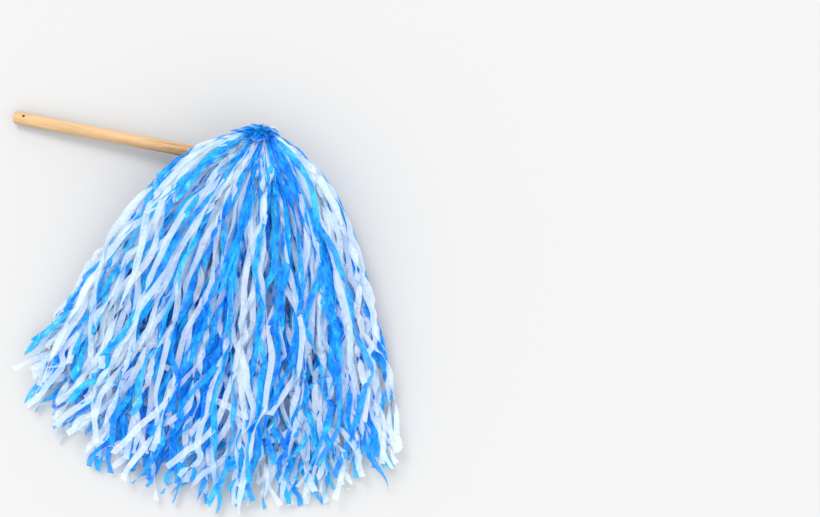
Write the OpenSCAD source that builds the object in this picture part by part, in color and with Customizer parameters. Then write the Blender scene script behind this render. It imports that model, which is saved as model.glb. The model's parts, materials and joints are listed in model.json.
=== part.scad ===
// Cheer pom pom on a wooden dowel handle, lying on the floor with its fringe fanned out.
// X runs along the handle towards the fringe, Y towards the gathered head, Z up.
// The origin is the middle of the whole object's footprint, on the floor.

/* [Handle] */
// Diameter of the dowel
dowel_d = 12.7; // [10:0.1:16]
// Length of the dowel
dowel_len = 270; // [240:1:300]
// Chamfer round both ends of the dowel
dowel_chamfer = 0.8; // [0.2:0.1:1.5]
// Diameter of the hole for hanging the pom pom up
hang_hole_d = 3; // [2:0.1:4]
// Distance of the hanging hole from the free end
hang_hole_in = 10; // [7:0.5:20]
// Roll of the hanging hole away from the tie hole
hang_hole_roll = 26; // [0:1:45]
// Diameter of the hole that the tie cord passes through
tie_hole_d = 3.4; // [3:0.1:4]
// Distance of the tie hole from the inner end
tie_hole_in = 12; // [10:0.5:20]

/* [Tie] */
// Height of the dowel's axis at the tie hole
tie_height = 28; // [27:0.5:29]
// Diameter of the tie cord
cord_d = 1.6; // [1:0.1:1.8]
// Turns of cord round the neck
cord_turns = 3; // [2:1:4]
// Radius of the gathered film at the neck
neck_r = 10; // [9:0.5:11]
// Length of the film's bunched edge beyond the neck
head_len = 16; // [12:1:20]
// Radius of the bunched edge where it opens out
head_r = 17; // [14:1:20]

/* [Fringe] */
// Sheets of fringe above the handle, and as many below it
sheets = 9; // [5:1:11]
// Distance from the neck to the longest tips
reach = 372; // [320:1:400]
// How much shorter the fan reaches at its two edges
edge_short = 40; // [0:1:60]
// How much farther the fan reaches at its right edge, and less at its left edge
edge_lean = 15; // [0:1:20]
// Angle that the tips cover, seen from the neck
tip_spread = 72; // [50:1:80]
// Angle that the strips cover where they leave the neck
neck_spread = 175; // [120:1:180]
// How far the strips run straight out before they bend to their fall
shoulder = 105; // [90:1:115]
// Free space between neighbouring sheets
sheet_gap = 5; // [4.5:0.1:6]
// Height of the pile at its crown
crown = 74; // [70:1:80]
// Height of the pile at the tips
tip_height = 24; // [20:1:30]

/* [Hidden] */
$fn = 48;
BLUE = "dodgerblue";
WHITE = "ghostwhite";

// The tie hole is the zero point of the layout until the last move.
end_reach = dowel_len - tie_hole_in;
tilt = asin((tie_height - dowel_d / 2) / end_reach);
neck = [-6, 32.5];
neck_height = 36;
head_aim = 101;
neck_aim = -86;
fall_aim = -92;
cord_sides = 8;

// Height profiles of the pile: [share of the way to the tips, height].
first_share = 0.12;
shares = [first_share, 0.2, 0.3, 0.45, 0.6, 0.8, 1];
upper_top = [[first_share, 0.82 * crown], [0.3, crown], [0.45, 0.95 * crown], [1, tip_height]];
upper_under = [[first_share, 41], [1, 10]];
lower_top = [[first_share, 17], [0.6, 7], [1, 8]];
lower_under = [[0, 0], [1, 0]];

function ray(angle, length) = length * [cos(angle), sin(angle)];

// A line of the fan: across is -1 at its left edge and 1 at its right, share runs to the tip.
function reach_at(across) = reach - edge_short * pow(across, 2) + edge_lean * across;
function tip_at(across) = ray(fall_aim + across * tip_spread / 2, reach_at(across));
function fan(across, share) =
    neck + 2 * share * (1 - share) * ray(neck_aim + across * neck_spread / 2, shoulder)
    + pow(share, 2) * tip_at(across);

// The two sides of sheet i at one share, drawn in by half the gap.
function side(i) = 2 * i / sheets - 1;
function inset(a, b) = a + (b - a) * sheet_gap / 2 / norm(b - a);
function left_side(i, share) = inset(fan(side(i), share), fan(side(i + 1), share));
function right_side(i, share) = inset(fan(side(i + 1), share), fan(side(i), share));

// Four corners for each share: both sides on the under face, then both on the top face.
function sheet_points(i, under, top) = [
    for (share = shares)
        let (l = left_side(i, share), r = right_side(i, share))
        let (lo = lookup(share, under), hi = lookup(share, top))
        each [[l.x, l.y, lo], [r.x, r.y, lo], [r.x, r.y, hi], [l.x, l.y, hi]]
];

// Extents of the whole object, measured from the tie hole.
outline = [for (i = [0:sheets - 1]) for (s = shares) each [left_side(i, s), right_side(i, s)]];
x_low = -end_reach * cos(tilt) - (dowel_d / 2 - dowel_chamfer) * sin(tilt);
x_high = max([for (p = outline) p.x]);
y_low = min([for (p = outline) p.y]);
y_high = neck.y + head_len * sin(head_aim) + head_r * abs(cos(head_aim));
centre = [(x_low + x_high) / 2, (y_low + y_high) / 2];

// The cord's route. Places round the neck: an angle from its side, a radius, a place along its axis.
function at_ring(angle, radius, along) =
    let (side = ray(head_aim - 90, radius * cos(angle)), axis = ray(head_aim, along))
    [neck.x + side.x + axis.x, neck.y + side.y + axis.y, neck_height + radius * sin(angle)];
function toward(a, b, d) = a + (b - a) * d / norm(b - a);
function corner(a, b, c) =
    let (p = toward(b, a, cord_d), q = toward(b, c, cord_d))
    [for (t = [0:0.25:1]) (1 - t) * (1 - t) * p + 2 * t * (1 - t) * b + t * t * q];
turn_r = neck_r + 0.2 + cord_d / 2;
outer_r = turn_r + 1.1 * cord_d;
turn_pitch = 1.15 * cord_d;
knot_r = 1.5 * cord_d;
half_pass = dowel_d / 2 + 1.5 * cord_d;
tied_half = cord_turns * turn_pitch / 2 + 0.6;
over = [0, 0, tie_height + half_pass];
under = [0, 0, tie_height - half_pass];
beside_neck = at_ring(0, outer_r, -tied_half);
below_neck = at_ring(-90, outer_r, -tied_half);
wound = 160 + 360 * (cord_turns - 1);
cord_route = concat(
    [for (angle = [68:-17:17]) at_ring(angle, outer_r, 0)],
    corner(at_ring(17, outer_r, 0), at_ring(0, outer_r, 0), beside_neck),
    [beside_neck],
    corner(beside_neck, over, under),
    corner(over, under, below_neck),
    [below_neck],
    [for (t = [0:15 / wound:1]) at_ring(-110 - t * wound, turn_r, (t - 0.5) * wound / 360 * turn_pitch)]
);

// A tube along a route, with its rings carried from point to point without twist.
function heading(route, i) =
    let (before = route[max(i - 1, 0)], after = route[min(i + 1, len(route) - 1)])
    (after - before) / norm(after - before);
function square_to(v, along) = let (w = v - (v * along) * along) w / norm(w);
function carried(route, i, v) =
    let (n = square_to(v, heading(route, i)))
    i == len(route) - 1 ? [n] : concat([n], carried(route, i + 1, n));
module tube(route, radius, sides) {
    rings = len(route);
    normals = carried(route, 0, [0.3, 0.2, 1]);
    points = [
        for (i = [0:rings - 1]) for (k = [0:sides - 1])
            let (n = normals[i], m = cross(heading(route, i), n), angle = 360 * k / sides)
            route[i] + radius * (cos(angle) * n + sin(angle) * m)
    ];
    walls = [
        for (i = [0:rings - 2]) for (k = [0:sides - 1])
            let (a = i * sides + k, b = i * sides + (k + 1) % sides)
            each [[a, a + sides, b + sides], [a, b + sides, b]]
    ];
    first = [for (k = [0:sides - 1]) k];
    last = [for (k = [sides - 1:-1:0]) (rings - 1) * sides + k];
    polyhedron(points, concat(walls, [first, last]));
}

module place() {
    translate([-centre.x, -centre.y, 0]) children();
}

// A round hole across the dowel, given its distance from the tie hole.
module cross_hole(at, d, roll) {
    translate([at, 0, 0]) rotate([roll, 0, 0]) cylinder(d = d, h = 2 * dowel_d, center = true);
}

module handle_dowel() {
    r = dowel_d / 2;
    c = dowel_chamfer;
    profile = [[0, 0], [r - c, 0], [r, c], [r, dowel_len - c], [r - c, dowel_len], [0, dowel_len]];
    color("burlywood")
    place()
    translate([0, 0, tie_height])
    rotate([0, -tilt, 0])
    difference() {
        translate([-end_reach, 0, 0]) rotate([0, 90, 0]) rotate_extrude() polygon(profile);
        cross_hole(0, tie_hole_d, 0);
        cross_hole(hang_hole_in - end_reach, hang_hole_d, -hang_hole_roll);
    }
}

// Stands a shape that is modelled along Z at the neck, with its top towards the head.
module at_neck() {
    translate([neck.x, neck.y, neck_height]) rotate([0, 90, head_aim]) children();
}

// One cord: from the knot down the side of the neck, over the dowel, down through its tie hole,
// back under it, round the neck and up to the knot again.
module tie_cord() {
    color("white") place() {
        tube(cord_route, cord_d / 2, cord_sides);
        translate(at_ring(90, turn_r + cord_d / 2 + knot_r + 0.15, 0)) sphere(r = knot_r);
    }
}

// The unslit edges of all the sheets, bunched at the neck and opening out above it.
module gathered_head() {
    profile = [
        [0, -tied_half], [neck_r, -tied_half], [neck_r, tied_half], [0.8 * head_r, 0.6 * head_len],
        [head_r, head_len], [0, head_len]
    ];
    color(BLUE) place() at_neck() rotate_extrude() polygon(profile);
}

// The strips of sheet i, as the closed outer shape that they fill between two heights.
module fringe_sheet(i, under, top) {
    last = 4 * (len(shares) - 1);
    walls = [
        for (s = [0:4:last - 4]) for (k = [0:3])
            let (a = s + k, b = s + (k + 1) % 4)
            each [[a, a + 4, b + 4], [a, b + 4, b]]
    ];
    ends = [[0, 1, 2], [0, 2, 3], [last + 2, last + 1, last], [last + 3, last + 2, last]];
    polyhedron(sheet_points(i, under, top), concat(walls, ends));
}

module fringe_upper(i) {
    color(i % 2 == 0 ? WHITE : BLUE) place() fringe_sheet(i, upper_under, upper_top);
}

module fringe_lower(i) {
    color(i % 2 == 0 ? BLUE : WHITE) place() fringe_sheet(i, lower_under, lower_top);
}

handle_dowel();
tie_cord();
gathered_head();
for (i = [1:sheets]) {
    fringe_upper(i - 1);
    fringe_lower(i - 1);
}
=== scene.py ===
"""Looks of the cheer pom pom: sheets of slit film tied to a wooden dowel, lying in a fan.

Lengths are in millimetres, measured from the tie hole, until a mesh is made; the frame and
Blender are in metres. The strips are laid segment by segment along the lines of a fan, each at
its own depth in the pile. They aren't simulated, and they can pass through each other.
"""
import json
import math

import bpy
import numpy as np
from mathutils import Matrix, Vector


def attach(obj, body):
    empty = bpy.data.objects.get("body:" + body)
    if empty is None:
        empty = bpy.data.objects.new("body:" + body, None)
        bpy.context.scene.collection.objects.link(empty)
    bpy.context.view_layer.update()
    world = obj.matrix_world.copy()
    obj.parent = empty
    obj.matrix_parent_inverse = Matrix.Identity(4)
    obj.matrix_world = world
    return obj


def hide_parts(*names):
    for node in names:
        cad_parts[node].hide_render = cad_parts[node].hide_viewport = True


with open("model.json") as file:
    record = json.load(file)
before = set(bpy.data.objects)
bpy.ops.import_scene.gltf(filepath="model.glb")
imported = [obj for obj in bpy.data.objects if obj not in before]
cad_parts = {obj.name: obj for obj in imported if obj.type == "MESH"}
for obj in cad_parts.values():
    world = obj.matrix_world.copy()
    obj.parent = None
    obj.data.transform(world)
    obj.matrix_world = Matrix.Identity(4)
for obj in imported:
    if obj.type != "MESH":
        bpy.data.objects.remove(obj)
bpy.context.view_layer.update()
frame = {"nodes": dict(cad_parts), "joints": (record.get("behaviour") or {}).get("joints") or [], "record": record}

MM = 0.001
SEED = 11

# ---------------------------------------------------------------- layout, as in the CAD frame
JOINTS = {j["name"]: j for j in frame["joints"]}
TIE = Vector(JOINTS["handle_swivel"]["pos_m"])
SHEETS = 9
NECK = np.array([-6.0, 32.5])
NECK_HEIGHT = 36.0
NECK_RADIUS = 10.0
HEAD_AIM = 101.0
NECK_AIM, NECK_SPREAD, SHOULDER = -86.0, 175.0, 105.0
FALL_AIM, TIP_SPREAD = -92.0, 72.0
REACH, EDGE_SHORT, EDGE_LEAN = 372.0, 40.0, 15.0
# The left side of the pile stands out farther at the neck, and bends to its fall sooner.
LEFT_SHOULDER, LEFT_BEND = 0.16, 0.4

# The handle swings about the tie hole and slopes down to its free end.
TIE_HEIGHT, HANDLE_RADIUS = 28.0, 6.35
HANDLE_INNER, HANDLE_OUTER = 30.0, 262.0
HANDLE_SLOPE = (TIE_HEIGHT - HANDLE_RADIUS) / 258.0
SWING = math.radians(30)
# Reaches from the tie hole where the handle lies so low that strips have to go round its end.
LOW_FROM, LOW_RAMP, LOW_TO, LOW_END_RAMP = 175.0, 40.0, 300.0, 30.0

# Heights of the pile above the floor: [shares of the way to the tips], [heights].
UPPER_TOP = [0, 0.12, 0.3, 0.45, 1], [45, 61, 74, 70, 24]
UPPER_UNDER = [0, 0.12, 0.85, 1], [37, 43, 16, 8]
LOWER_TOP = [0, 0.12, 0.6, 1], [35, 15, 8, 11]
LOWER_UNDER = [0, 0.12, 1], [27, 2.0, 1.2]
PILE_MIDDLE = [0, 0.12, 0.6, 1], [34, 14, 6, 2]

STRIP_WIDTH = 6.35
STRIP_LENGTH = 380.0
STRIPS = 33
HEADER = 16.0
# Strips in a clump, which keep together, and the pieces that each strip is laid in.
CLUMP = 4
KNOTS = 60
# How far a strip gets along its line of the fan for each millimetre of its length, and how
# far past the end of a piece its plan is read.
PROGRESS = 0.955
LOOK_AHEAD = 3.0
# The strips' tips aren't cut to one length: shares of the length that their line allows.
SHORTEST, LONGEST = 0.80, 1.05
CROSSING_SHARE = 0.22
FOLDED_SHARE = 0.05
# How far a strip's crinkle pattern, with its painted crease shade and glints, lies from the next strip's, so that
# no two look the same.
PATTERN_STEP = 37.0
FLOOR_GAP = 0.4
# The strips' bends: least and most length between two bends, and how strong they are, in
# millimetres sideways, as a share of the pile's depth for the lift, in radians for the lean.
CLUMP_SWAY = 50, 140, 5.0
KINKS = 9, 34, 2.3
CROSSING_SWAY = 80, 200, 19.0
LIFT = 30, 80, 0.06
LEAN = 12, 46, 1.0
# How far tips hook sideways, usually and at most.
HOOK, HOOK_MOST = 28, 46
# Strips that leave the neck over the cord: their share, how far round they start, how far out.
OVER_SHARE, ROOT_TURN, OVER_CORD = 0.6, math.radians(72), 12.6
UP = np.array([0, 0, 1.0])


def ray(angle, length):
    """Points at a distance from zero, in the direction of an angle in degrees."""
    a = np.radians(angle)
    return np.stack([length * np.cos(a), length * np.sin(a)], -1)


def fan(across, share):
    """The fan's lines: across runs from -1 to 1 over its width, share from 0 to 1 to its tips."""
    reach = REACH - EDGE_SHORT * across**2 + EDGE_LEAN * across
    tip = ray(FALL_AIM + across * TIP_SPREAD / 2, reach)
    left = np.clip(-across, 0, 1)
    out = ray(NECK_AIM + across * NECK_SPREAD / 2, SHOULDER * (1 + LEFT_SHOULDER * left))
    bend = np.maximum(1 - share, 0) ** (1 + LEFT_BEND * left)
    share = share[..., None]
    return NECK + 2 * share * bend[..., None] * out + share**2 * tip


def unit(v):
    """Vectors at a length of one."""
    return v / np.maximum(np.linalg.norm(v, axis=-1, keepdims=True), 1e-9)


def turned(v, axis, angle):
    """v turned round a unit axis by an angle in radians."""
    c, s = np.cos(angle)[..., None], np.sin(angle)[..., None]
    along = np.sum(v * axis, -1, keepdims=True)
    return v * c + np.cross(axis, v) * s + axis * along * (1 - c)


# ---------------------------------------------------------------- strips
def wander(rng, count, low, high, size):
    """Lines of random values, as (places, values), with low to high millimetres between places."""
    places = np.cumsum(rng.uniform(low, high, (count, int(500 / low))), axis=1)
    return places - rng.uniform(0, high, (count, 1)), rng.normal(0, size, places.shape)


def read(line, s):
    """The value of each wandering line at its own place s."""
    return np.array([np.interp(x, p, v) for x, p, v in zip(s, *line)])


class Plan:
    """Where the strips of one sheet run: a line of the fan and a depth in the pile each."""

    def __init__(self, rng, centre, spread, under, top, clumped):
        count = STRIPS
        self.under, self.top = under, top
        group = np.arange(count) // CLUMP
        groups = group[-1] + 1
        start = centre + spread * np.linspace(-1, 1, count) + rng.normal(0, 0.02, groups)[group]
        drift = rng.normal(0, 0.09, groups)[group] + rng.normal(0, 0.08, count)
        self.start = fold_back(start)
        self.end = fold_back(start + drift)
        self.crossing = (rng.random(count) < CROSSING_SHARE) & (np.abs(self.end) < 0.80)
        loose = rng.uniform(0.05, 0.92, count)
        side_by_side = rng.uniform(0.05, 0.85, groups)[group] + 0.02 * (np.arange(count) % CLUMP)
        self.depth = np.where((rng.random(groups) < clumped)[group], side_by_side, loose)
        self.depth = np.where(self.crossing, rng.uniform(0.9, 0.97, count), self.depth)
        clump_sway = wander(rng, groups, *CLUMP_SWAY)
        self.sway = clump_sway[0][group], clump_sway[1][group]
        self.kinks = wander(rng, count, *KINKS)
        self.kinks = self.kinks[0], self.kinks[1] * np.where(self.crossing, 0.35, 1.0)[:, None]
        self.crossing_sway = wander(rng, count, *CROSSING_SWAY)
        self.lift = wander(rng, count, *LIFT)
        self.hook = np.clip(rng.normal(0, HOOK, count), -HOOK_MOST, HOOK_MOST)
        outward = (np.abs(self.end) > 0.7) & (self.hook * self.end > 0)
        self.hook *= np.where(outward, 0.25, 1.0)
        shares = np.linspace(0, 1, 80)
        line = fan(((self.start + self.end) / 2)[:, None], np.tile(shares, (count, 1)))
        walked = np.cumsum(np.linalg.norm(np.diff(line, axis=1), axis=-1), axis=1)
        self.walked = np.concatenate([np.zeros((count, 1)), walked], axis=1)
        reach = np.minimum(STRIP_LENGTH, self.walked[:, -1] / PROGRESS)
        self.length = reach * rng.uniform(SHORTEST, LONGEST, count)
        self.shares = shares
        self.root = self.roots(rng, count)

    def roots(self, rng, count):
        """Where the strips leave the tied neck: under the cord, or for some upper ones over it."""
        above = self.top is UPPER_TOP
        over = above & (rng.random(count) < OVER_SHARE)
        lean = ROOT_TURN * self.start * (1 if above else -1) + (0 if above else np.pi)
        over_knot = 3.0 * np.exp(-(lean / 0.35)**2)
        outside = OVER_CORD + 2.2 * self.depth + rng.uniform(0, 0.2, count) + over_knot
        out = np.where(over, outside, NECK_RADIUS * (0.2 + 0.5 * self.depth))
        along = np.where(over, rng.uniform(-7, 2, count), -4.2)
        side, axis = ray(HEAD_AIM - 90, 1.0), ray(HEAD_AIM, 1.0)
        foot = NECK + (out * np.sin(lean))[:, None] * side + along[:, None] * axis
        return np.concatenate([foot, (NECK_HEIGHT + out * np.cos(lean))[:, None]], -1)

    def share_at(self, s):
        """How far along its line of the fan each strip is at its own arc length s."""
        return np.array([np.interp(x, w, self.shares) for x, w in zip(s * PROGRESS, self.walked)])

    def at(self, s):
        """The planned points at arc lengths s, one for each strip."""
        share = self.share_at(s)
        beyond = np.maximum(s * PROGRESS - self.walked[:, -1], 0)
        ease = share * share * (3 - 2 * share)
        across = self.start + (self.end - self.start) * ease
        flat = fan(across, share)
        down = unit(fan(across, np.minimum(share + 0.01, 1)) - fan(across, share - 0.01))
        side = np.stack([-down[:, 1], down[:, 0]], -1)
        # The bends grow away from the neck, and tips hook in their last quarter.
        grown = np.clip(share / 0.5, 0.15, 1) * (0.8 + 0.5 * share)
        shift = (read(self.sway, s) + self.crossing * read(self.crossing_sway, s)) * grown
        outer_half = np.clip((share - 0.5) / 0.5, 0, 1)
        shift = shift + read(self.kinks, s) * np.clip(share / 0.1, 0, 1) * (1 + 2.2 * outer_half)
        shift = shift + self.hook * np.clip((share - 0.75) / 0.25, 0, 1) ** 2
        # Towards the fan's two edges the bends lessen, and the strips draw in.
        inward = np.clip((np.abs(across) - 0.6) / 0.35, 0, 1)
        shift = shift * (1 - 0.3 * inward) - 3 * np.sign(across) * inward
        flat = flat + side * shift[:, None] + down * beyond[:, None]
        if self.under is LOWER_UNDER:
            flat = past_free_end(flat)
        depth = np.clip(self.depth + read(self.lift, s), 0.03, 0.97)
        low, high = np.interp(share, *self.under), np.interp(share, *self.top)
        # Where the handle can't come, the upper strips sink to the middle of the pile.
        free = np.clip((beyond_handle(flat) - 12) / 22, 0, 1)
        low = low + free * (np.minimum(low, np.interp(share, *PILE_MIDDLE)) - low)
        height = low + (high - low) * depth
        # The first 22 mm lead from the root to the line of the fan.
        near = (np.clip(1 - s / 22, 0, 1) ** 1.5)[:, None]
        point = np.concatenate([flat, height[:, None]], -1)
        return point * (1 - near) + self.root * near


def swing_of(points):
    """How far the handle would have to swing to point at each point, in radians."""
    return np.abs(np.arctan2(points[..., 1], -points[..., 0]))


def beyond_handle(points):
    """How far points lie outside the area that the handle's middle line can sweep."""
    reach = np.hypot(points[..., 0], points[..., 1])
    outside = reach * np.sin(np.clip(swing_of(points) - SWING, 0, np.pi / 2))
    outside = np.where(reach < HANDLE_INNER, np.minimum(outside, reach - 12), outside)
    return np.maximum(outside, reach - HANDLE_OUTER)


def past_free_end(points):
    """Turns points about the tie hole, out of the way of the handle's low free end."""
    reach, swing = np.hypot(points[..., 0], points[..., 1]), swing_of(points)
    low_end = np.clip((reach - LOW_FROM) / LOW_RAMP, 0, 1)
    low_end = low_end * np.clip((LOW_TO - reach) / LOW_END_RAMP, 0, 1) * (points[..., 0] < 0)
    short = np.maximum(SWING + 17 / np.maximum(reach, 1) - swing, 0) * low_end
    turn = np.where(points[..., 1] < 0, short, -short)
    c, s = np.cos(turn), np.sin(turn)
    x, y = points[..., 0], points[..., 1]
    return np.stack([x * c - y * s, x * s + y * c], -1)


def fold_back(across):
    """Keeps places across the fan between its two edges by mirroring what is past them."""
    over = np.maximum(np.abs(across) - 0.99, 0)
    return across - 2 * np.sign(across) * over


def laid_strips(rng, plan):
    """Lays the strips of a plan segment by segment. Returns both edges as (strip, knot, xyz)."""
    count = len(plan.start)
    steps = rng.uniform(0.6, 1.4, (count, KNOTS))
    steps *= (plan.length / steps.sum(1))[:, None]
    point, walked = plan.root, np.zeros(count)
    # A strip that doesn't fold has its fold past its end.
    folds = rng.random(count) < FOLDED_SHARE
    fold_at = np.where(folds, rng.uniform(0.70, 0.94, count), 2.0) * plan.length
    fold_turn = np.radians(rng.uniform(75, 150, count)) * np.where(plan.end > 0, -1, 1)
    points, runs, creased = [point], [], []
    for k in range(KNOTS):
        goal = plan.at(walked + steps[:, k] + LOOK_AHEAD)
        along = unit(goal - point)
        after = walked >= fold_at
        if k:
            before = runs[-1]
            first = after & (walked - steps[:, k - 1] < fold_at)
            turn = np.where(first, fold_turn, rng.normal(0, 0.09, count))
            bent = turned(before, UP + 0 * before, turn)
            bent[:, 2] = np.where(first, 0.02, 0.8 * bent[:, 2])
            along = np.where(after[:, None], unit(bent), along)
            creased.append(first)
        point = point + along * steps[:, k:k + 1]
        walked = walked + steps[:, k]
        runs.append(along)
        points.append(point)
    points, runs = np.stack(points, 1), np.stack(runs, 1)
    creased = np.stack([np.zeros(count, bool)] + creased + [np.zeros(count, bool)], 1)

    before = np.concatenate([runs[:, :1], runs], 1)
    after = np.concatenate([runs, runs[:, -1:]], 1)
    heading = unit(before + after + 1e-6)
    walked = np.concatenate([np.zeros((count, 1)), np.cumsum(steps, 1)], 1)
    roll = roll_along(rng, walked) + np.pi * np.cumsum(creased, 1)
    level = unit(np.cross(UP, heading))
    across = turned(level, heading, roll)
    fold_line = unit(before + after)
    old_side = np.concatenate([across[:, :1], across[:, :-1]], 1)
    fold_line = fold_line * np.sign(np.sum(fold_line * old_side, -1, keepdims=True))
    half_turn = np.arccos(np.clip(np.sum(before * after, -1), -1, 1)) / 2
    fold_line = fold_line / np.maximum(np.sin(half_turn), 0.5)[..., None]
    across = np.where(creased[..., None], fold_line, across)
    # The tips are cut a little askew.
    cut = rng.normal(0, 0.25, count)[:, None]
    half = STRIP_WIDTH / 2
    left, right = points + half * across, points - half * across
    left[:, -1] += runs[:, -1] * cut * half
    right[:, -1] -= runs[:, -1] * cut * half
    return left, right


def roll_along(rng, walked):
    """How far each strip is rolled about its own run: leans to both sides, and half turns over."""
    count = len(walked)
    places, lean = wander(rng, count, *LEAN)
    near_neck = np.clip(1.3 - places / 60, 0, 1)
    lean = np.clip(lean, -2, 2) * (1.0 + 0.5 * near_neck)
    turned_over = np.cumsum(rng.random(places.shape) < 0.20, axis=1)
    flips = turned_over * np.pi * rng.choice([-1, 1], (count, 1))
    return np.stack([np.interp(w, p, v) for w, p, v in zip(walked, places, lean + flips)])


def rounded(line):
    """Cuts every corner of the lines once, keeping their ends, so that creases turn softly."""
    a = 0.75 * line[:, :-1] + 0.25 * line[:, 1:]
    b = 0.25 * line[:, :-1] + 0.75 * line[:, 1:]
    mid = np.stack([a, b], 2).reshape(len(line), -1, 3)
    return np.concatenate([line[:, :1], mid, line[:, -1:]], 1)


def clear_of_handle(points, above, spare):
    """Moves points over the handle, or under it, wherever it lies or can swing."""
    # From 8 to 20 mm outside the area that the handle sweeps, the strips are let go.
    slack = np.clip((beyond_handle(points) - 8) / 12, 0, 1) * 30
    reach, swing = np.hypot(points[..., 0], points[..., 1]), swing_of(points)
    axis = TIE_HEIGHT - HANDLE_SLOPE * reach * (np.cos(swing) if above else 1.0)
    points = points.copy()
    if above:
        points[..., 2] = np.maximum(points[..., 2], axis + HANDLE_RADIUS + spare - slack)
    else:
        room = np.maximum(axis - HANDLE_RADIUS - spare, 0)
        points[..., 2] = np.minimum(points[..., 2], room + slack)
    return points


def add_own_place(mesh, place, tint):
    """Gives a mesh the film's own coordinates and tints, and smooth shading."""
    own = mesh.attributes.new("strip_place", "FLOAT_VECTOR", "POINT")
    own.data.foreach_set("vector", place.reshape(-1))
    shade = mesh.attributes.new("strip_tint", "FLOAT", "POINT")
    shade.data.foreach_set("value", tint)
    mesh.polygons.foreach_set("use_smooth", [True] * len(mesh.polygons))


def strip_mesh(name, left, right, rng, above):
    """One mesh of all the strips, with a mid line that cups them, and their own coordinates."""
    left, right = rounded(left), rounded(right)
    count, rings = left.shape[:2]
    run = np.gradient((left + right) / 2, axis=1)
    normal = unit(np.cross(run, left - right))
    along = np.cumsum(np.linalg.norm(run, axis=-1), axis=1)
    cup = 0.4 * np.sin(along / rng.uniform(8, 30, (count, 1)) + rng.uniform(0, 6, (count, 1)))
    cup = (cup + rng.normal(0, 0.2, cup.shape)) * np.clip(along / 110, 0.15, 1)
    mid = (left + right) / 2 + normal * cup[..., None]
    points = np.stack([left, mid, right], 2)
    points = clear_of_handle(points, above, rng.uniform(0.6, 2.6, (count, 1, 1)))
    points[..., 2] = np.maximum(points[..., 2], FLOOR_GAP + rng.uniform(0, 1.5, (count, 1, 1)))
    ring = np.arange(rings - 1)
    base = (np.arange(count)[:, None] * rings + ring[None, :]).reshape(-1) * 3
    quads = np.concatenate([
        np.stack([base, base + 1, base + 4, base + 3], -1),
        np.stack([base + 1, base + 2, base + 5, base + 4], -1)])
    mesh = bpy.data.meshes.new(name)
    mesh.from_pydata(to_row(points.reshape(-1, 3)).tolist(), [], quads.tolist())
    tint = np.repeat(rng.random(count), rings * 3)
    place = np.zeros((count, rings, 3, 3))
    place[..., 0] = np.array([0.0, 0.5, 1.0]) * STRIP_WIDTH
    place[..., 1] = along[..., None]
    place[..., 2] = (np.arange(count) * PATTERN_STEP)[:, None, None]
    add_own_place(mesh, place, tint)
    mesh.update()
    return mesh


def to_row(points):
    """Points in millimetres from the tie hole, heights from the floor, in the frame's metres."""
    return points * MM + np.array([TIE.x, TIE.y, 0.0])


def add(name, mesh, material, body):
    """Puts a mesh into the scene as a piece that rides on a body."""
    piece = bpy.data.objects.new(name, mesh)
    bpy.context.scene.collection.objects.link(piece)
    mesh.materials.append(material)
    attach(piece, body)
    return piece


# ---------------------------------------------------------------- materials
def new_material(name):
    """A material with its nodes, its links, its main shader and its output."""
    material = bpy.data.materials.new(name)
    material.use_nodes = True
    nodes, links = material.node_tree.nodes, material.node_tree.links
    return material, nodes, links, nodes["Principled BSDF"], nodes["Material Output"]


def noise(nodes, links, vector, stretch, **settings):
    """Noise over a vector, scaled by a factor along each of its axes."""
    mapping = nodes.new("ShaderNodeMapping")
    mapping.inputs["Scale"].default_value = stretch
    links.new(vector, mapping.inputs["Vector"])
    texture = nodes.new("ShaderNodeTexNoise")
    texture.inputs["Scale"].default_value = 1.0
    for name, value in settings.items():
        texture.inputs[name].default_value = value
    links.new(mapping.outputs["Vector"], texture.inputs["Vector"])
    return texture.outputs["Fac"]


def weighted_sum(nodes, links, first, weight, second):
    """The first value times a weight, plus the second."""
    math_node = nodes.new("ShaderNodeMath")
    math_node.operation = "MULTIPLY_ADD"
    math_node.inputs[1].default_value = weight
    links.new(first, math_node.inputs[0])
    links.new(second, math_node.inputs[2])
    return math_node.outputs["Value"]


def colour(nodes, links, value, shader, stops):
    """Colours a shader by a value, from stops of (value, colour)."""
    ramp = nodes.new("ShaderNodeValToRGB")
    elements = ramp.color_ramp.elements
    elements.remove(elements[1])
    elements[0].position, elements[0].color = stops[0][0], (*stops[0][1], 1)
    for at, tone in stops[1:]:
        elements.new(at).color = (*tone, 1)
    links.new(value, ramp.inputs["Fac"])
    links.new(ramp.outputs["Color"], shader.inputs["Base Color"])


def roughen(nodes, links, value, shader, low, high):
    """Sets a shader's roughness by a value, from low to high."""
    rough = nodes.new("ShaderNodeMapRange")
    rough.inputs["To Min"].default_value = low
    rough.inputs["To Max"].default_value = high
    links.new(value, rough.inputs["Value"])
    links.new(rough.outputs["Result"], shader.inputs["Roughness"])


def bumped(nodes, links, height, shader, strength, distance):
    """Bumps a shader's surface, and returns the bumped normal."""
    bump = nodes.new("ShaderNodeBump")
    bump.inputs["Strength"].default_value = strength
    bump.inputs["Distance"].default_value = distance
    links.new(height, bump.inputs["Height"])
    links.new(bump.outputs["Normal"], shader.inputs["Normal"])
    return bump.outputs["Normal"]


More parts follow.
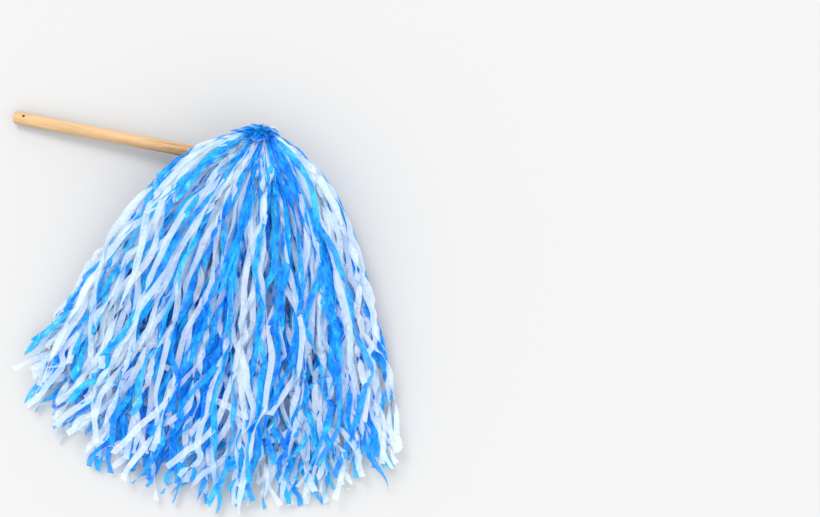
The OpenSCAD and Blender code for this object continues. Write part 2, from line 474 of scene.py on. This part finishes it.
def film(name, dark, light, inner, glow, clear):
    """Thin film: tones that vary along each strip, with painted crease shade in the darker tones and painted
    glints at the white top, a satin gloss, wrinkles of about 5 mm, and light coming through.
    """
    material, nodes, links, shader, output = new_material(name)
    place = nodes.new("ShaderNodeAttribute")
    place.attribute_name = "strip_place"
    tint = nodes.new("ShaderNodeAttribute")
    tint.attribute_name = "strip_tint"

    crinkle_noise = noise(nodes, links, place.outputs["Vector"], (0.20, 0.10, 1.0),
                  Detail=2.5, Roughness=0.55, Distortion=0.8)
    tone = weighted_sum(nodes, links, tint.outputs["Fac"], 0.22, crinkle_noise)
    # Painted light: the crinkle noise darkens the film to painted crease shade and whitens it to painted glints;
    # the strip tint adds each strip's own tone.
    colour(nodes, links, tone, shader, ((0.42, dark), (0.82, light), (1.0, (1.0, 1.0, 1.0))))
    roughen(nodes, links, crinkle_noise, shader, 0.22, 0.42)
    shader.inputs["Specular IOR Level"].default_value = 0.22
    wrinkle = noise(nodes, links, place.outputs["Vector"], (0.16, 0.22, 1.0),
                    Detail=2.0, Distortion=0.6)
    normal = bumped(nodes, links, wrinkle, shader, 0.8, 0.0032)

    through = nodes.new("ShaderNodeBsdfTranslucent")
    through.inputs["Color"].default_value = (*inner, 1)
    links.new(normal, through.inputs["Normal"])
    mix = nodes.new("ShaderNodeMixShader")
    mix.inputs["Fac"].default_value = glow
    links.new(shader.outputs["BSDF"], mix.inputs[1])
    links.new(through.outputs["BSDF"], mix.inputs[2])
    see = nodes.new("ShaderNodeBsdfTransparent")
    sheer = nodes.new("ShaderNodeMixShader")
    sheer.inputs["Fac"].default_value = clear
    links.new(mix.outputs["Shader"], sheer.inputs[1])
    links.new(see.outputs["BSDF"], sheer.inputs[2])
    links.new(sheer.outputs["Shader"], output.inputs["Surface"])
    return material


def wood(name):
    """Pale hardwood with a fine grain along the rod and broad darker bands."""
    material, nodes, links, shader, _ = new_material(name)
    where = nodes.new("ShaderNodeTexCoord").outputs["Object"]
    grain = noise(nodes, links, where, (14.0, 900.0, 900.0), Detail=6.0, Roughness=0.62)
    band = noise(nodes, links, where, (2.5, 160.0, 160.0), Detail=2.0)
    both = weighted_sum(nodes, links, grain, 0.55, band)
    colour(nodes, links, both, shader, (
        (0.55, (0.30, 0.155, 0.062)), (0.70, (0.47, 0.285, 0.130)), (0.95, (0.56, 0.37, 0.19))))
    roughen(nodes, links, grain, shader, 0.42, 0.62)
    bumped(nodes, links, grain, shader, 0.25, 0.0004)
    return material


def string(name):
    """White cotton string with fine uneven fibres."""
    material, nodes, links, shader, _ = new_material(name)
    where = nodes.new("ShaderNodeTexCoord").outputs["Object"]
    fibre = noise(nodes, links, where, (1.0, 1.0, 1.0), Scale=1800.0, Detail=4.0)
    colour(nodes, links, fibre, shader, ((0.0, (0.62, 0.61, 0.58)), (1.0, (0.90, 0.90, 0.87))))
    shader.inputs["Roughness"].default_value = 0.9
    bumped(nodes, links, fibre, shader, 0.6, 0.0003)
    return material


BLUE = film("film_blue", dark=(0.00, 0.15, 0.88), light=(0.04, 0.72, 1.00),
            inner=(0.01, 0.52, 1.00), glow=0.42, clear=0.14)
# White film: its darker tone is a painted light-blue shade, and its light through is tinted blue as painted bounce
# light from the blue strips.
WHITE = film("film_white", dark=(0.71, 0.86, 0.93), light=(0.94, 0.95, 0.96),
             inner=(0.80, 0.93, 1.00), glow=0.46, clear=0.25)
WOOD = wood("dowel_wood")
STRING = string("cord_cotton")


# ---------------------------------------------------------------- stage
# Sun lamps: name, direction, strength, and how many degrees of the sky each fills.
SUNS = (
    ("key", (0.45, -0.65, -1.0), 1.45, 24),
    ("fill", (-0.6, 0.2, -1.0), 0.3, 60),
)


def set_stage():
    """A plain pale floor under a soft white sky and two wide lamps."""
    floor_mesh = bpy.data.meshes.new("floor")
    r = 6.0
    floor_mesh.from_pydata([(-r, -r, 0), (r, -r, 0), (r, r, 0), (-r, r, 0)], [], [(0, 1, 2, 3)])
    floor = bpy.data.objects.new("floor", floor_mesh)
    bpy.context.scene.collection.objects.link(floor)
    paint, _, _, shader, _ = new_material("floor_paint")
    shader.inputs["Base Color"].default_value = (0.505, 0.505, 0.505, 1)
    shader.inputs["Roughness"].default_value = 0.9
    floor_mesh.materials.append(paint)

    world = bpy.data.worlds.new("studio")
    bpy.context.scene.world = world
    world.use_nodes = True
    sky = world.node_tree.nodes["Background"]
    sky.inputs["Color"].default_value = (1, 1, 1, 1)
    sky.inputs["Strength"].default_value = 1.36
    for name, heading, power, spread in SUNS:
        light = bpy.data.lights.new(name, "SUN")
        light.energy, light.angle = power, math.radians(spread)
        lamp = bpy.data.objects.new(name, light)
        lamp.rotation_mode = "QUATERNION"
        lamp.rotation_quaternion = Vector(heading).to_track_quat("-Z", "Y")
        bpy.context.scene.collection.objects.link(lamp)
    bpy.context.scene.view_settings.view_transform = "Standard"


def set_camera():
    """Straight down, turned so that the handle slopes down to the right, beside the pom pom."""
    data = bpy.data.cameras.new("camera")
    data.sensor_width, data.lens = 36.0, 85.0
    camera = bpy.data.objects.new("camera", data)
    view_width = 0.828  # metres of floor across the picture
    distance = view_width * data.lens / data.sensor_width
    turn = math.radians(11.2)
    aside = Vector((0.1605, -0.0623, 0))
    camera.location = (TIE.x + aside.x, TIE.y + aside.y, distance)
    camera.rotation_euler = (0, 0, turn)
    bpy.context.scene.collection.objects.link(camera)
    bpy.context.scene.camera = camera


# ---------------------------------------------------------------- pieces
# How each film lies: its width in sheets, the share of its strips that keep together, and the
# lowest place and the range of its strips' depths in the pile.
BLUE_LAY = 4.5, 0.5, 0.04, 0.92
WHITE_LAY = 3.4, 0.15, 0.21, 0.70


def add_sheet(name, node, body, rng, centre, under, top):
    """One sheet of slit film in place of its CAD solid."""
    slot = next(s["material_slot"] for s in frame["record"]["subparts"] if s["node"] == node)
    blue = slot == "film_blue"
    spread, clumped, lowest, depths = BLUE_LAY if blue else WHITE_LAY
    plan = Plan(rng, 0.95 * centre, spread / SHEETS, under, top, clumped)
    plan.depth = lowest + depths * plan.depth**0.8
    left, right = laid_strips(rng, plan)
    mesh = strip_mesh(name, left, right, rng, under is UPPER_UNDER)
    piece = add(name, mesh, BLUE if blue else WHITE, body)
    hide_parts(node)


PLEATS = 13
# Mesh points round the neck and up the header.
RUFFLE_MESH = 320, 12
# Where a header starts along the neck, and how far the head turns up as it opens out.
HEAD_FOOT, HEAD_TIP_UP = 2.6, math.radians(60)
# The share of its flat area that a header's crumpled surface is given.
RUFFLE_AREA = 0.80


def ruffle_points(number, scale, curl, depth):
    """The crumpled surface of one header: (place round the neck, place up the header, xyz)."""
    rng = np.random.default_rng([SEED, 200 + number])
    around, rise = RUFFLE_MESH
    turn = np.linspace(0, 2 * np.pi, around, endpoint=False)[:, None]
    h = np.linspace(0, 1, rise)[None, :]
    # The pleats are uneven in spacing and height, and slant as they rise.
    phase = PLEATS * turn + 2.5 * np.sin(2 * turn + rng.uniform(0, 6))
    phase = phase + 1.2 * np.sin(5 * turn + rng.uniform(0, 6))
    pleat = np.sin(phase + 1.5 * h * np.sin(3 * turn + rng.uniform(0, 6)))
    pleat = pleat * (1 + 0.4 * np.sin(4 * turn + rng.uniform(0, 6)))
    edge = HEADER * (1 + 0.06 * np.interp(turn, *jagged(rng)))
    steep = np.radians(18 + (curl - 18) * h)
    out, up = np.cumsum(np.sin(steep), 1), np.cumsum(np.cos(steep), 1)
    radius = scale * 0.50 * NECK_RADIUS + 0.95 * scale * edge * out / rise
    radius = radius + depth * pleat * (0.8 + 0.4 * h)
    along = HEAD_FOOT + edge * up / rise + 2.2 * h * np.sin(3 * turn + rng.uniform(0, 6))
    twist = turn + 0.18 * h * np.sin(3 * turn + rng.uniform(0, 6))
    # The head is wider than it is tall, leans to one side, and tips up and back over the neck.
    wide, tall = 1.05 * radius * np.cos(twist) - 6 * scale * h, radius * np.sin(twist)
    tall = np.where(tall > 0, 0.62, 0.42) * tall
    tip_up = HEAD_TIP_UP * np.clip(h / 0.5, 0, 1)
    out_of_foot = along - HEAD_FOOT
    back = HEAD_FOOT - (11 - 3 * scale) * h + out_of_foot * np.cos(tip_up) - tall * np.sin(tip_up)
    high = out_of_foot * np.sin(tip_up) + tall * np.cos(tip_up) + 8 * h
    side, axis = np.append(ray(HEAD_AIM - 90, 1.0), 0), np.append(ray(HEAD_AIM, 1.0), 0)
    points = (np.append(NECK, NECK_HEIGHT) + wide[..., None] * side + back[..., None] * axis
              + high[..., None] * UP)
    # It is crumpled more towards its edge: sizes of the waves, and how far they reach.
    for size, amount in ((12.0, 2.6), (6.0, 0.8)):
        wave = rng.normal(0, 1, (3, 3))
        swell = np.sin(points / size @ wave + rng.uniform(0, 6, 3))
        points = points + (amount * h)[..., None] * swell
    return points


def area(points):
    """The area of a closed ring of quads."""
    across = np.roll(points, -1, axis=0)[:, :-1] - points[:, :-1]
    up = points[:, 1:] - points[:, :-1]
    return np.linalg.norm(np.cross(across, up), axis=-1).sum()


def add_ruffle(number, material, scale, curl):
    """One sheet's unslit edge, pleated round the neck and crumpled where it opens out."""
    depth = 4.0
    # The pleats are made deeper or shallower until the surface has that share of its area.
    for _ in range(8):
        points = ruffle_points(number, scale, curl, depth)
        depth *= RUFFLE_AREA * STRIPS * STRIP_WIDTH * HEADER / area(points)
    around, rise = points.shape[:2]
    index = np.arange(around * rise).reshape(around, rise)
    after = np.roll(index, -1, axis=0)
    quads = np.stack([index[:, :-1], after[:, :-1], after[:, 1:], index[:, 1:]], -1).reshape(-1, 4)
    mesh = bpy.data.meshes.new(f"head_ruffle_{number}")
    mesh.from_pydata(to_row(points.reshape(-1, 3)).tolist(), [], quads.tolist())
    place = np.zeros((around, rise, 3))
    place[..., 0] = HEADER * np.linspace(0, 1, rise)[None, :]
    place[..., 1] = STRIPS * STRIP_WIDTH * np.linspace(0, 1, around)[:, None]
    place[..., 2] = PATTERN_STEP * number
    add_own_place(mesh, place, np.full(around * rise, 0.15 * number))
    piece = add(mesh.name, mesh, material, "tied_fringe")
    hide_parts("gathered_head")


def jagged(rng):
    """An uneven edge: angles round the neck, and how far the edge stands out at each."""
    angles = np.linspace(0, 2 * np.pi, 41)
    return angles, rng.normal(0, 1, len(angles))


# The six headers of the head, from the outermost in: slot, size, and curl outwards in degrees.
RUFFLES = (
    ("film_blue", 1.05, 95), ("film_blue", 0.98, 80), ("film_white", 0.88, 62),
    ("film_blue", 0.80, 50), ("film_blue", 0.70, 32), ("film_blue", 0.60, 14),
)

set_camera()
set_stage()
for i in range(SHEETS):
    middle = (2 * i + 1) / SHEETS - 1
    add_sheet(f"upper_strips_{i + 1}", f"fringe_upper_{i + 1}", f"sheet_{i + 1}",
              np.random.default_rng([SEED, i]), middle, UPPER_UNDER, UPPER_TOP)
    add_sheet(f"lower_strips_{i + 1}", f"fringe_lower_{i + 1}", "tied_fringe",
              np.random.default_rng([SEED, 100 + i]), middle, LOWER_UNDER, LOWER_TOP)
for number, (slot, scale, curl) in enumerate(RUFFLES, 1):
    add_ruffle(number, BLUE if slot == "film_blue" else WHITE, scale, curl)
for node, material in (("handle_dowel", WOOD), ("tie_cord", STRING)):
    slots = frame["nodes"][node].data.materials
    slots.clear()
    slots.append(material)
